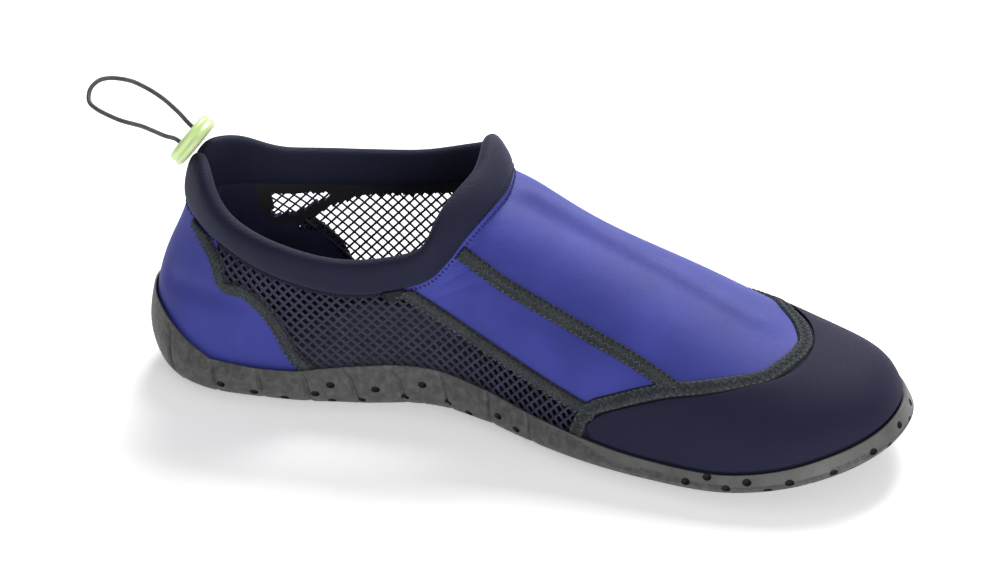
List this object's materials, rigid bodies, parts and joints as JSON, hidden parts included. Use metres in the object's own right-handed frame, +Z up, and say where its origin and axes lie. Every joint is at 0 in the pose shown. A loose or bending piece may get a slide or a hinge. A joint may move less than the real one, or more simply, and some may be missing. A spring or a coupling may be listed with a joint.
{
  "type": "water shoe",
  "caption": "Slip-on water shoe for the left foot: neoprene upper, padded collar with drawcord and cord lock, moulded rubber cup sole and cloth toe cap",
  "frame": {"origin": "on the ground under the middle of the shoe's box, measured without the drawcord and its lock", "axes": "+X from heel to toe, +Y to the outer side of the left foot, +Z up; the shoe stands level on its tread"},
  "size_m": [0.2978, 0.1036, 0.1005],
  "materials": {
    "neoprene": "blue-violet stretch cloth over neoprene, matt",
    "rubber": "grey-green moulded rubber, matt",
    "foam": "cloth-covered foam foot bed, matt",
    "collar_cloth": "dark navy stretch cloth over padding, matt",
    "tape": "woven seam tape, matt",
    "toe_cloth": "dark navy smooth cloth, slight sheen",
    "lime_plastic": "pale lime moulded plastic, soft gloss",
    "cord_braid": "thin braided elastic cord"
  },
  "bodies": {
    "root": {"upper": "neoprene", "outsole": "rubber", "insole": "foam", "collar": "collar_cloth", "upper_tape_inner": "tape", "upper_tape_outer": "tape", "lower_tape_inner": "tape", "lower_tape_outer": "tape", "heel_tape_inner": "tape", "heel_tape_outer": "tape", "toe_tape": "tape", "toe_cap": "toe_cloth", "cord_lock": "lime_plastic", "drawcord": "cord_braid"}
  },
  "joints": []
}
